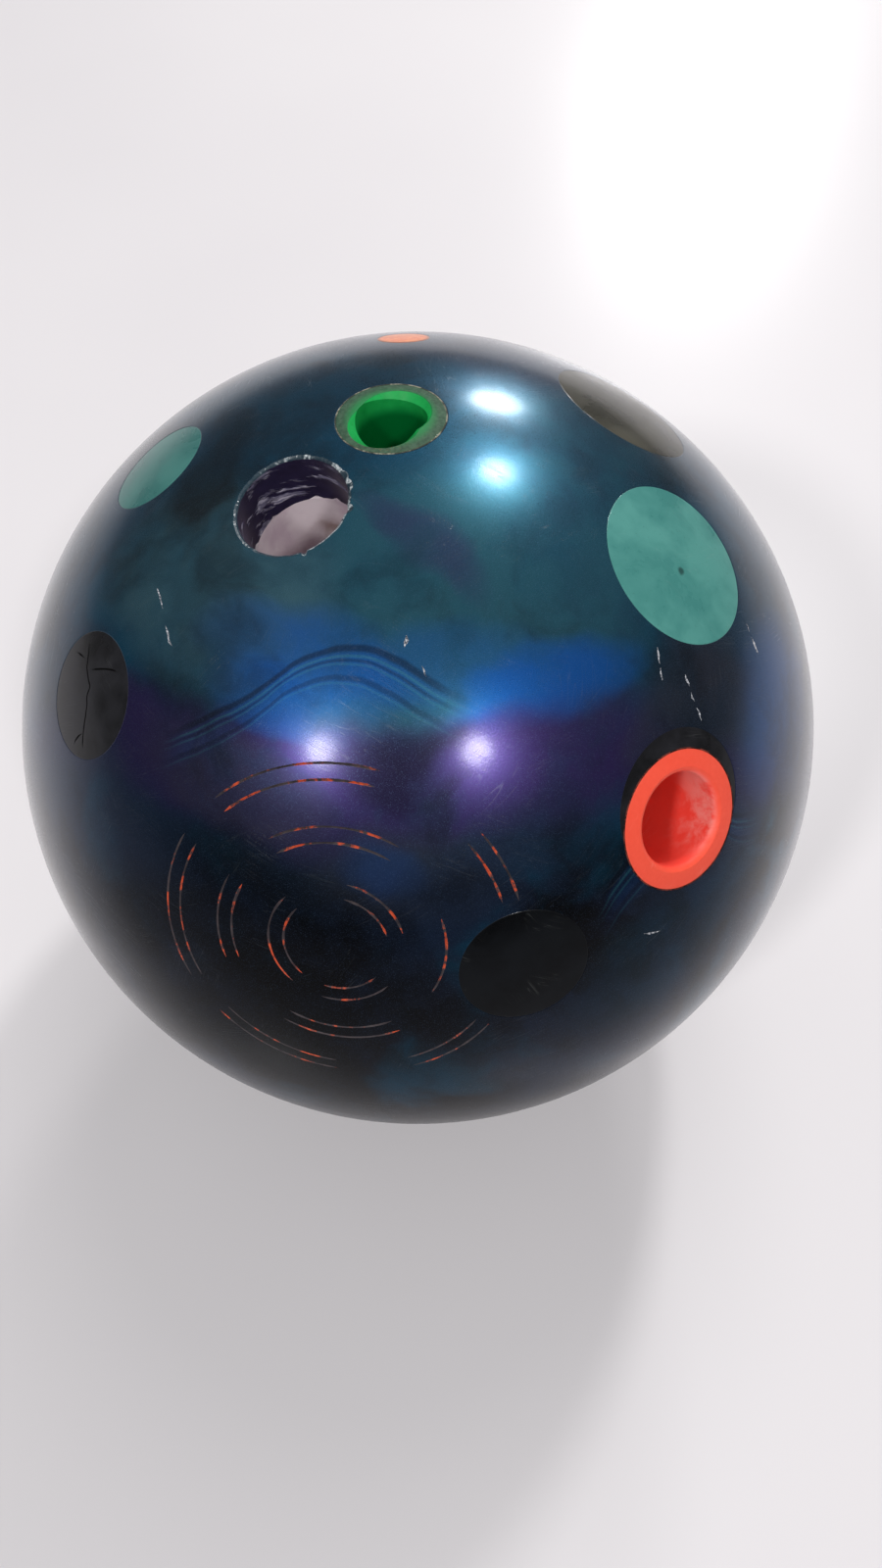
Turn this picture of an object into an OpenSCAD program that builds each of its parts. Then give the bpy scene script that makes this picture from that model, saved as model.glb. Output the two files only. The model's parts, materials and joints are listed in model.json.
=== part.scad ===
// Bowling ball, plugged and drilled again: a pearl cover over an outer core and a weight block,
// six resin plugs in old holes, a finger insert, an open finger hole and a thumb slug.
//
// Origin: centre of the ball. +Z points up as the ball lies, with the finger holes on top.
//
// A place on the ball is an azimuth, in degrees from -Y towards +X, and an elevation, in degrees
// above the equator. A hole's pitch is how far its outward axis leans from the ball's radius,
// in degrees: the lean is towards rising elevation, the side lean towards rising azimuth.

/* [Ball] */
// Diameter over the cover
ball_d = 215.9; // [215.9:0.1:218.3]
// Thickness of the cover
cover_t = 14.3; // [12:0.1:18]

/* [Weight block] */
// Diameter of the bulb
block_d = 96; // [90:1:104]
// Depth of the bulb's centre below the ball's centre, along the pin's line
block_drop = 10; // [6:1:14]
// Diameter of the neck
neck_d = 50; // [44:1:56]
// Height of the neck's top above the ball's centre
neck_top = 60; // [54:1:64]

/* [Locator pin] */
// Diameter of the pin
pin_d = 12.7; // [10:0.1:13]
// Azimuth of the pin
pin_azimuth = 183.4; // [180:0.1:187]
// Elevation of the pin
pin_elevation = 60.8; // [58:0.1:62]

/* [Large teal plug] */
// Diameter of the old hole
teal_large_d = 38.1; // [36:0.1:39]
// Depth of the old hole
teal_large_depth = 56; // [50:1:60]
// Azimuth of its mouth
teal_large_azimuth = 75; // [73:0.1:77]
// Elevation of its mouth
teal_large_elevation = 56.2; // [55:0.1:58]

/* [Small teal plug] */
// Diameter of the old hole
teal_small_d = 25.4; // [22:0.1:26]
// Depth of the old hole
teal_small_depth = 40; // [32:1:42]
// Azimuth of its mouth
teal_small_azimuth = -103.9; // [-107:0.1:-102]
// Elevation of its mouth
teal_small_elevation = 55.3; // [53:0.1:56]

/* [Cracked black plug] */
// Diameter of the old hole
cracked_d = 28.6; // [25:0.1:30]
// Depth of the old hole
cracked_depth = 44; // [36:1:48]
// Azimuth of its mouth
cracked_azimuth = -62.4; // [-66:0.1:-59]
// Elevation of its mouth
cracked_elevation = 41; // [38:0.1:43]

/* [Front black plug] */
// Diameter of the old hole
front_d = 28.6; // [25:0.1:29]
// Depth of the old hole
front_depth = 34; // [26:1:36]
// Azimuth of its mouth
front_azimuth = 14.4; // [12:0.1:15.4]
// Elevation of its mouth
front_elevation = 26.9; // [24:0.1:28]

/* [Olive plug] */
// Diameter of the old hole
olive_d = 34.9; // [32:0.1:36]
// Depth of the old hole
olive_depth = 25; // [20:1:26]
// Azimuth of its mouth
olive_azimuth = 122.9; // [121:0.1:126]
// Elevation of its mouth
olive_elevation = 56.7; // [54:0.1:58]

/* [Black thumb plug] */
// Diameter of the old hole
thumb_plug_d = 33.3; // [32.6:0.1:35]
// Depth of the old hole
thumb_plug_depth = 60; // [50:1:64]
// Azimuth of its mouth
thumb_plug_azimuth = 42.6; // [42:0.1:43.2]
// Elevation of its mouth
thumb_plug_elevation = 37.5; // [37.2:0.1:38.2]

/* [Open finger hole] */
// Diameter of the hole, which takes a 31/32 in insert
finger_d = 24.6; // [22.2:0.1:25]
// Depth of the hole
finger_depth = 42; // [34:1:44]
// Azimuth of its mouth
finger_azimuth = -63.8; // [-66:0.1:-62]
// Elevation of its mouth
finger_elevation = 74.8; // [74:0.1:75.2]
// Lean of its axis
finger_lean = 3.3; // [2:0.1:4]
// Side lean of its axis
finger_side_lean = 3.5; // [3:0.1:4.5]
// Width of the broken edge at its mouth
finger_edge = 0.5; // [0.2:0.1:0.8]

/* [Finger insert] */
// Diameter of the hole for the insert
insert_hole_d = 24.6; // [22.2:0.1:25]
// Depth of the hole for the insert
insert_depth = 38; // [34:1:40]
// Azimuth of its mouth
insert_azimuth = 205.6; // [203:0.1:208]
// Elevation of its mouth
insert_elevation = 84; // [83.8:0.1:84.4]
// Lean of its axis
insert_lean = 5.5; // [4.5:0.1:6]
// Side lean of its axis
insert_side_lean = 6; // [5.5:0.1:7]
// Diameter of the finger opening
opening_d = 15.9; // [14:0.1:17]
// Distance from the opening's axis to its flat lift face
opening_lift = 6.9; // [6.5:0.1:7]
// Turn of the lift face about the insert's axis
opening_turn = 20; // [0:1:360]
// Turn of the flared mouth's long axis about the insert's axis
flare_turn = 34; // [0:1:360]
// How far the mouth's longer end is off the opening's axis
flare_long = 3; // [2:0.1:3.2]
// How far the mouth's shorter end is off the opening's axis
flare_short = 2; // [1.5:0.1:2.5]

/* [Thumb slug] */
// Diameter of the hole for the slug
slug_hole_d = 31.75; // [31:0.05:32.25]
// Depth of the hole for the slug
slug_depth = 68; // [66:1:72]
// Azimuth of its mouth
slug_azimuth = 41.6; // [41.2:0.1:42]
// Elevation of its mouth
slug_elevation = 35.8; // [35.5:0.1:36]
// Diameter of the thumb bore
thumb_d = 21; // [18:0.1:23]
// Depth of the thumb bore
thumb_depth = 60; // [50:1:62]
// Radius of the round lip at the mouth
thumb_lip = 1.7; // [1:0.1:2]

/* [Adhesive] */
// Thickness of the glue line round the insert and the slug
glue_t = 0.3; // [0.2:0.05:0.4]

/* [Hidden] */
$fn = 96;

ball_r = ball_d / 2;
core_r = ball_r - cover_t;
// Cutters reach this far past the ball's surface
over = 5;
// The bulb's foot is cut flat at this share of its radius
foot_share = 0.88;
// A collar runs round the neck: how far it stands out, how high it is, and its drop from the top
collar_out = 4;
collar_h = 12;
collar_drop = 18;
// Radius of each end of the insert's flared mouth at the surface, and the flare's depth
flare_r = 8;
flare_depth = 3.4;
// The thumb bore's round lip would reach this far above the ball, so it meets it at a soft corner
lip_rise = 0.15;
// Pitch of a hole that points at the ball's centre
RADIAL = [0, 0];

// Every hole drilled in the ball, oldest first: [diameter, depth, [azimuth, elevation], pitch].
// A later hole cuts through an earlier plug.
HOLES = [
    [teal_large_d, teal_large_depth, [teal_large_azimuth, teal_large_elevation], RADIAL],
    [teal_small_d, teal_small_depth, [teal_small_azimuth, teal_small_elevation], RADIAL],
    [cracked_d, cracked_depth, [cracked_azimuth, cracked_elevation], RADIAL],
    [front_d, front_depth, [front_azimuth, front_elevation], RADIAL],
    [olive_d, olive_depth, [olive_azimuth, olive_elevation], RADIAL],
    [thumb_plug_d, thumb_plug_depth, [thumb_plug_azimuth, thumb_plug_elevation], RADIAL],
    [finger_d, finger_depth, [finger_azimuth, finger_elevation], [finger_lean, finger_side_lean]],
    [insert_hole_d, insert_depth, [insert_azimuth, insert_elevation], [insert_lean, insert_side_lean]],
    [slug_hole_d, slug_depth, [slug_azimuth, slug_elevation], RADIAL]
];
TEAL_LARGE = 0;
TEAL_SMALL = 1;
CRACKED = 2;
FRONT = 3;
OLIVE = 4;
THUMB_PLUG = 5;
FINGER = 6;
INSERT = 7;
SLUG = 8;

// How far below the surface point on its axis a mouth of radius r has its rim
function rim_z(r) = sqrt(ball_r ^ 2 - r ^ 2) - ball_r;

// Moves its children to a place on the ball: +Z points out along the pitched axis, +X towards
// rising azimuth, +Y towards rising elevation, and the origin is on the surface.
module on_ball(place, pitch = RADIAL) {
    rotate([90 - place[1], 0, place[0]])
        translate([0, 0, ball_r])
            rotate([-pitch[0], pitch[1], 0])
                children();
}

module at_hole(i) {
    on_ball(HOLES[i][2], HOLES[i][3])
        children();
}

// A straight cut from outside the ball down to a depth
module bore(d, depth) {
    translate([0, 0, -depth])
        cylinder(d = d, h = depth + over);
}

module hole(i) {
    at_hole(i)
        bore(HOLES[i][0], HOLES[i][1]);
}

module pin_hole() {
    on_ball([pin_azimuth, pin_elevation])
        bore(pin_d, ball_r - neck_top);
}

module all_holes() {
    for (i = [0:len(HOLES) - 1])
        hole(i);
    pin_hole();
}

// Keeps what lies in the ball, so that each piece ends flush with the cover
module flush() {
    intersection() {
        sphere(r = ball_r);
        children();
    }
}

// Resin cast into an old hole, less what later holes have cut away
module plug(i) {
    difference() {
        flush() hole(i);
        for (later = [i + 1:len(HOLES) - 1])
            hole(later);
    }
}

// Glue on the wall of a hole
module glue_line(i) {
    d = HOLES[i][0];
    depth = HOLES[i][1];
    flush()
        at_hole(i)
            difference() {
                bore(d, depth);
                bore(d - 2 * glue_t, depth + over);
            }
}

// What fills a hole inside its glue line
module inside_glue(i) {
    at_hole(i)
        bore(HOLES[i][0] - 2 * glue_t, HOLES[i][1]);
}

// A bulb with a flat foot and a collared neck, turned about the pin's line
module block_shape() {
    foot_z = -block_drop - foot_share * block_d / 2;
    rotate([90 - pin_elevation, 0, pin_azimuth])
        rotate_extrude()
            intersection() {
                translate([0, foot_z])
                    square([block_d, neck_top - foot_z]);
                union() {
                    translate([0, -block_drop])
                        circle(d = block_d);
                    square([neck_d / 2, neck_top]);
                    translate([0, neck_top - collar_drop])
                        square([neck_d / 2 + collar_out, collar_h]);
                }
            }
}

// A cone that is r in radius where it leaves the ball and slopes in at 45 degrees below that
module countersink(r, depth) {
    translate([0, 0, rim_z(r) - depth])
        cylinder(r1 = r - depth, r2 = r + depth, h = 2 * depth);
}

// The opening of the insert: a round bore with one flat lift face
module finger_opening() {
    reach = insert_depth + over;
    rotate([0, 0, opening_turn])
        intersection() {
            bore(opening_d, reach);
            translate([-opening_d, opening_lift - 2 * opening_d, -reach])
                cube([2 * opening_d, 2 * opening_d, reach + over]);
        }
}

// The insert's mouth, an oval of two countersinks side by side
module flared_mouth() {
    rotate([0, 0, flare_turn])
        for (end = [flare_long, -flare_short])
            translate([end, 0, 0])
                countersink(flare_r, flare_depth);
}

// The thumb bore in section: a straight wall and a round lip that runs out at the ball's surface
module thumb_bore_section() {
    lip_r = thumb_d / 2 + thumb_lip;
    lip_z = rim_z(lip_r) - thumb_lip + lip_rise;
    translate([0, -thumb_depth])
        square([thumb_d / 2, thumb_depth + over]);
    difference() {
        translate([0, lip_z])
            square([lip_r, thumb_lip + over]);
        translate([lip_r, lip_z])
            circle(r = thumb_lip);
    }
}

module coverstock() {
    color("#1c3f5c")
        difference() {
            sphere(r = ball_r);
            sphere(r = core_r);
            all_holes();
            on_ball(HOLES[FINGER][2])
                countersink(finger_d / 2 + finger_edge, 2 * finger_edge);
        }
}

module outer_core() {
    color("#9b8e95")
        difference() {
            sphere(r = core_r);
            block_shape();
            all_holes();
        }
}

module weight_block() {
    color("#5a5f66")
        difference() {
            block_shape();
            all_holes();
        }
}

module locator_pin() {
    color("#ff9f5f")
        flush()
            pin_hole();
}

module teal_plug_large() {
    color("#4b8782") plug(TEAL_LARGE);
}

module teal_plug_small() {
    color("#46736e") plug(TEAL_SMALL);
}

module black_plug_cracked() {
    color("#232326") plug(CRACKED);
}

module black_plug_front() {
    color("#1a2023") plug(FRONT);
}

module olive_plug() {
    color("#4a4a3e") plug(OLIVE);
}

module black_thumb_plug() {
    color("#242427") plug(THUMB_PLUG);
}

module finger_insert() {
    color("#1eaa50")
        flush()
            difference() {
                inside_glue(INSERT);
                at_hole(INSERT) finger_opening();
                on_ball(HOLES[INSERT][2]) flared_mouth();
            }
}

module finger_insert_glue() {
    color("#8fa58c") glue_line(INSERT);
}

module thumb_slug() {
    color("#ff6e55")
        flush()
            difference() {
                inside_glue(SLUG);
                at_hole(SLUG)
                    rotate_extrude()
                        thumb_bore_section();
            }
}

module thumb_slug_glue() {
    color("#c8b8a0") glue_line(SLUG);
}

coverstock();
outer_core();
weight_block();
locator_pin();
teal_plug_large();
teal_plug_small();
black_plug_cracked();
black_plug_front();
olive_plug();
black_thumb_plug();
finger_insert();
finger_insert_glue();
thumb_slug();
thumb_slug_glue();
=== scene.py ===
"""The looks of a bowling ball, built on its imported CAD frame.

Metres, +Z up, the ball's centre at the origin. Azimuth 0 faces the front (-Y) and grows towards +X,
and elevation is measured up from the ball's equator. The outside of each exposed part is meshed again,
finely, so that knocks, cracks and the engraved rings are real grooves. The walls, seats and inner faces
stay as the CAD has them, except the wall of the open finger hole, which gets a chipped edge and a rough
surface. Fine scratches are bump only.
"""

import json
import math

import bpy
import numpy as np
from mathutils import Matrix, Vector, geometry, kdtree


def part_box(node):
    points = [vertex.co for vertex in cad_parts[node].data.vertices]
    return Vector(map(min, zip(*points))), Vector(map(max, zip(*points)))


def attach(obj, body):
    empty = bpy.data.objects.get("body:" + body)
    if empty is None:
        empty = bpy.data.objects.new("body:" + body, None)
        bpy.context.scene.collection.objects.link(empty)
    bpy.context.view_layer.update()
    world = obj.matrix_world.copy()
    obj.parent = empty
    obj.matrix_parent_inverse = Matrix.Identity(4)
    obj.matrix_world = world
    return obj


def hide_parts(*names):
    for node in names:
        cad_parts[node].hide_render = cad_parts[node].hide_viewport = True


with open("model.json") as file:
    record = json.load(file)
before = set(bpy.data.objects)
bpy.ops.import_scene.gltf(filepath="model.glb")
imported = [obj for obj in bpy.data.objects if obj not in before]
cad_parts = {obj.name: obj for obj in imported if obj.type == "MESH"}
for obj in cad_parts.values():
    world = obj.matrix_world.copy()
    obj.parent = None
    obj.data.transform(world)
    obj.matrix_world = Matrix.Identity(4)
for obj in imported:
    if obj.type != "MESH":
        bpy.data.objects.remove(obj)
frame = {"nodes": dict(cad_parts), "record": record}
NODES = frame["nodes"]
MOUNTS = {mount["name"]: mount for mount in frame["record"]["mounts"]}
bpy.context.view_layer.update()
MM = 0.001            # one millimetre, in metres

# ---- directions and random numbers


def length(vectors):
    """The length of each vector."""
    return np.linalg.norm(vectors, axis=-1)


def unit(vectors):
    """Vectors scaled to length 1."""
    vectors = np.asarray(vectors, float)
    return vectors / length(vectors)[..., None]


def direction(azimuth, elevation):
    """The unit vector from the ball's centre towards a place on its surface, from degrees."""
    across, up = math.radians(azimuth), math.radians(elevation)
    flat = math.cos(up)
    return np.array([flat * math.sin(across), -flat * math.cos(across), math.sin(up)])


def tangents(axis):
    """Two unit vectors square to axis: one level, towards the east, and one up the surface."""
    east = unit(np.cross([0, 0, 1], axis))
    return east, np.cross(axis, east)


def way_to(node):
    """The unit vector towards the middle of a CAD node."""
    return unit(np.mean([list(corner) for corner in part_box(node)], axis=0))


def bore_line(mount):
    """A bore's middle, in metres, and the unit vector along its axis."""
    return np.array(MOUNTS[mount]["pos_m"]), unit(MOUNTS[mount]["axis"])


def smooth_noise(count, knots, rng):
    """count numbers that wander gently between -1 and 1, closing on themselves."""
    values = rng.uniform(-1, 1, knots)
    places = np.arange(count) * knots / count
    low = places.astype(int)
    part = places - low
    part = part * part * (3 - 2 * part)
    return values[low % knots] * (1 - part) + values[(low + 1) % knots] * part


# ---- the CAD meshes


def weld(node):
    """A CAD node's points, its triangles and the normals at their corners, with shared points joined."""
    mesh = NODES[node].data
    points = np.empty(len(mesh.vertices) * 3)
    mesh.vertices.foreach_get("co", points)
    corners = np.empty(len(mesh.loops), dtype=int)
    mesh.loops.foreach_get("vertex_index", corners)
    normals = np.empty(len(mesh.loops) * 3)
    mesh.corner_normals.foreach_get("vector", normals)
    points, joined = np.unique(np.round(points.reshape(-1, 3), 7), axis=0, return_inverse=True)
    faces = joined.ravel()[corners].reshape(-1, 3)
    whole = (faces[:, 0] != faces[:, 1]) & (faces[:, 1] != faces[:, 2]) & (faces[:, 2] != faces[:, 0])
    return points, faces[whole], normals.reshape(-1, 3, 3)[whole]


BALL_R = float(length(weld("coverstock")[0]).max())
ON_SKIN = 3e-6        # how far from the ball's surface a point on it may be, m
FACES_OUT = 0.9       # least cosine between an outside triangle's normal and the way out


def to_mm(share):
    """A share of the ball's radius, in mm."""
    return share * BALL_R / MM


def to_turn(distance):
    """A distance in mm as an angle round the ball, in radians."""
    return distance * MM / BALL_R


def face_normals(points, faces):
    """The flat normal of each triangle."""
    a, b, c = points[faces[:, 0]], points[faces[:, 1]], points[faces[:, 2]]
    return unit(np.cross(b - a, c - a))


def skin_faces(points, faces):
    """Which triangles lie on the outside of the ball."""
    on_skin = np.abs(length(points) - BALL_R) < ON_SKIN
    outward = unit(points[faces].mean(1))
    return on_skin[faces].all(1) & ((face_normals(points, faces) * outward).sum(1) > FACES_OUT)


def rim_loops(faces):
    """The open edges of these triangles as closed loops of points, with the triangles on their left."""
    edges = {(int(f[i]), int(f[(i + 1) % 3])) for f in faces for i in range(3)}
    step = dict(sorted((a, b) for a, b in edges if (b, a) not in edges))
    loops = []
    while step:
        start = next(iter(step))
        loop = [start]
        here = step.pop(start)
        while here != start:
            loop.append(here)
            here = step.pop(here)
        loops.append(loop)
    return loops


def flatten(directions):
    """Directions laid out on a plane, seen from the bottom of the ball. Circles stay circles."""
    return directions[:, :2] / (1 + directions[:, 2:3])


def unflatten(x, y):
    """The direction that flatten lays at x, y."""
    square = x * x + y * y
    return np.array([2 * x, 2 * y, 1 - square]) / (1 + square)


def inside_odd(places, loops):
    """Which flat places are inside an odd number of the flat loops."""
    odd = np.zeros(len(places), bool)
    x, y = places[:, 0], places[:, 1]
    for loop in loops:
        ends = np.roll(loop, -1, axis=0)
        for (xa, ya), (xb, yb) in zip(loop, ends):
            if ya == yb:
                continue
            level = (y >= min(ya, yb)) & (y < max(ya, yb))
            odd ^= level & (x < xa + (y - ya) * (xb - xa) / (yb - ya))
    return odd


# ---- grooves cut into the skin

# the kinds of triangle, each with its own material; EDGE is a skin triangle that touches a rim
SKIN, ENGRAVED, SCUFF, CRACK, CHIP, EDGE, WALL, BORE_WALL = range(8)

TAPER_POINTS = 3      # a groove tapers over this many points at each end
TAPER_END = 0.15      # its size at the very end, as a share of the full size
ENGRAVING_AT = (-10, 31)   # azimuth and elevation of the rings' centre
RINGS = [(13, 3, 20), (25, 4, 65), (38, 5, 10)]   # radius mm, pieces, first angle
RING_LEFT = (0.5, 0.8)     # the share of a piece's turn that is engraved
ENGRAVED_GAP = 3.4    # between the two lines of a ring, mm
ENGRAVED_WIDTH = 0.5
ENGRAVED_DEPTH = 0.28
ENGRAVED_STEP = 0.6   # between points along a line, mm
FRONT_PLUG_CLEAR = 17.0    # no engraving this close to the front plug's centre, mm
FEWEST_POINTS = 12    # a shorter piece of line is left out

# short knocks in the cover: first place, last place, width mm, depth mm
KNOCKS = [
    ((53.9, 54.0), (52.0, 52.5), 0.8, 0.35),
    ((51.6, 52.1), (50.4, 50.9), 0.6, 0.3),
    ((55.1, 49.2), (54.3, 47.9), 0.9, 0.35),
    ((53.9, 47.2), (53.4, 46.1), 0.8, 0.35),
    ((53.1, 45.4), (52.6, 43.8), 0.7, 0.3),
    ((74.5, 44.0), (73.6, 43.1), 0.7, 0.3),
    ((73.0, 42.5), (71.7, 40.4), 0.9, 0.35),
    ((-1.1, 66.3), (-1.5, 65.0), 1.1, 0.4),
    ((2.5, 62.9), (3.4, 61.8), 0.8, 0.3),
    ((-66.8, 56.5), (-61.5, 56.0), 0.5, 0.25),
    ((-58.0, 55.2), (-53.3, 54.4), 0.6, 0.25),
    ((31.0, 25.0), (33.5, 24.0), 0.5, 0.25),
    ((-140.0, 33.0), (-136.5, 32.0), 0.8, 0.35),
    ((160.0, 20.0), (161.5, 17.0), 0.7, 0.3),
    ((100.0, 12.0), (103.0, 13.0), 0.6, 0.3),
]
KNOCK_SHARE = 0.75    # how much of that width and depth an average knock has
KNOCK_STEP = 0.45
KNOCK_WANDER = 0.25
KNOCK_RAGGED = 0.45   # how much the width and depth vary along a knock

# the cracks across the left black plug: the places each one passes through
CRACKS = [
    [(-69.7, 44.5), (-66.5, 42.9), (-63.2, 42.0), (-60.0, 38.8), (-57.4, 35.9)],
    [(-65.0, 43.4), (-62.2, 45.5), (-59.8, 46.8)],
    [(-68.2, 43.0), (-70.6, 41.9)],
    [(-59.2, 37.2), (-59.6, 34.9)],
]
CRACK_WIDTH = 0.45
CRACK_DEPTH = 0.5
CRACK_STEP = 0.5
CRACK_WANDER = 0.3


class Groove:
    """A V-shaped cut along a path of directions, tapering out at both ends, in mm."""

    def __init__(self, path, width, depth, kind):
        from_end = np.minimum(np.arange(len(path)), np.arange(len(path))[::-1])
        taper = np.minimum(1, from_end / TAPER_POINTS)
        taper = TAPER_END + (1 - TAPER_END) * taper
        along = unit(np.gradient(path, axis=0))
        side = unit(np.cross(path, along))
        half = to_turn(np.asarray(width) / 2 * taper)[:, None]
        self.left = unit(path + side * half)
        self.right = unit(path - side * half)
        self.middle = unit(path) * (1 - (depth * MM * taper)[:, None] / BALL_R)
        self.kind = kind


def spread(corners, spacing, wander, rng):
    """A slightly wandering path through corner directions, with a point every spacing mm."""
    corners = [np.asarray(c, float) for c in corners]
    path = []
    for a, b in zip(corners, corners[1:]):
        count = max(2, int(to_mm(np.linalg.norm(b - a)) / spacing))
        path += [a + (b - a) * i / count for i in range(count)]
    path = unit(np.array(path + [corners[-1]]))
    side = unit(np.cross(path, np.gradient(path, axis=0)))
    shift = to_turn(smooth_noise(len(path), max(3, len(path) // 4), rng) * wander)
    return unit(path + side * shift[:, None])


def engraving():
    """A plain pattern of broken rings, engraved as pairs of thin lines and mostly worn away."""
    rng = np.random.default_rng(11)
    centre = direction(*ENGRAVING_AT)
    east, north = tangents(centre)
    plug = way_to("black_plug_front")
    grooves = []
    for radius, pieces, start in RINGS:
        sweep = 360 / pieces
        for number in range(pieces):
            first = start + number * sweep
            last = first + sweep * rng.uniform(*RING_LEFT)
            for offset in (-ENGRAVED_GAP / 2, ENGRAVED_GAP / 2):
                angle = to_turn(radius + offset)
                count = int(math.radians(last - first) * radius / ENGRAVED_STEP)
                turn = np.radians(np.linspace(first, last, count))[:, None]
                away = np.cos(turn) * east + np.sin(turn) * north
                path = unit(math.cos(angle) * centre + math.sin(angle) * away)
                path = path[to_mm(length(path - plug)) > FRONT_PLUG_CLEAR]
                if len(path) < FEWEST_POINTS:
                    continue
                count = len(path)
                width = ENGRAVED_WIDTH * (1 + 0.25 * smooth_noise(count, 9, rng))
                depth = ENGRAVED_DEPTH * (1 + 0.3 * smooth_noise(count, 7, rng))
                grooves.append(Groove(path, width, depth, ENGRAVED))
    return grooves


def knocks():
    """The short ragged knocks in the cover."""
    rng = np.random.default_rng(5)
    grooves = []
    for first, last, width, depth in KNOCKS:
        path = spread([direction(*first), direction(*last)], KNOCK_STEP, KNOCK_WANDER, rng)
        size = KNOCK_SHARE * (1 + KNOCK_RAGGED * smooth_noise(len(path), 7, rng))
        grooves.append(Groove(path, width * size, depth * size, SCUFF))
    return grooves


def cracks():
    """The cracks in the left black plug."""
    rng = np.random.default_rng(7)
    grooves = []
    for corners in CRACKS:
        path = spread([direction(*place) for place in corners], CRACK_STEP, CRACK_WANDER, rng)
        grooves.append(Groove(path, CRACK_WIDTH, CRACK_DEPTH, CRACK))
    return grooves


# ---- a fine skin on a CAD part

RIM_STEP = 0.22       # width of the softened edge beside a rim, mm
RIM_DROP = 0.07       # how far the rim itself sits below the ball's surface, mm
RIM_TILT = 0.45       # how far the normals at the rim lean over it
COVER_SPACING = 2.2   # between the skin's points, mm
PLUG_SPACING = 1.3
# shares of the spacing
FILL_CLEAR = 0.45     # between a filling point and the nearest rim or groove
POLE_CLEAR = 1.4      # between a filling point and the bottom pole
POLE_RING = 1.2       # the radius of the ring of points round the bottom pole
TRIANGLE_GRID = 0.87  # the area for each point of a triangular grid with sides of 1


class Shape:
    """A mesh being put together: points, triangles, a normal for each corner and a kind for each."""

    def __init__(self):
        self.points = np.zeros((0, 3))
        self.faces = np.zeros((0, 3), int)
        self.normals = np.zeros((0, 3, 3))
        self.kinds = np.zeros(0, int)

    def add_points(self, points):
        """Adds points and returns their numbers."""
        first = len(self.points)
        self.points = np.vstack([self.points, points])
        return np.arange(first, first + len(points))

    def add_faces(self, faces, kind, normals):
        self.faces = np.vstack([self.faces, faces])
        self.normals = np.vstack([self.normals, normals])
        self.kinds = np.append(self.kinds, np.broadcast_to(kind, len(faces)))


def lattice(spacing):
    """Directions spread evenly over the whole ball, about spacing mm apart."""
    count = int(4 * math.pi * BALL_R**2 / (TRIANGLE_GRID * (spacing * MM) ** 2))
    index = np.arange(count) + 0.5
    z = 1 - 2 * index / count
    turn = math.pi * (1 + math.sqrt(5)) * index
    flat = np.sqrt(1 - z * z)
    return np.column_stack([flat * np.cos(turn), flat * np.sin(turn), z])


def inward(rim):
    """The way from each point of a rim, given as directions, into the skin on its left."""
    return unit(np.cross(rim, np.roll(rim, -1, axis=0) - np.roll(rim, 1, axis=0)))


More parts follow.
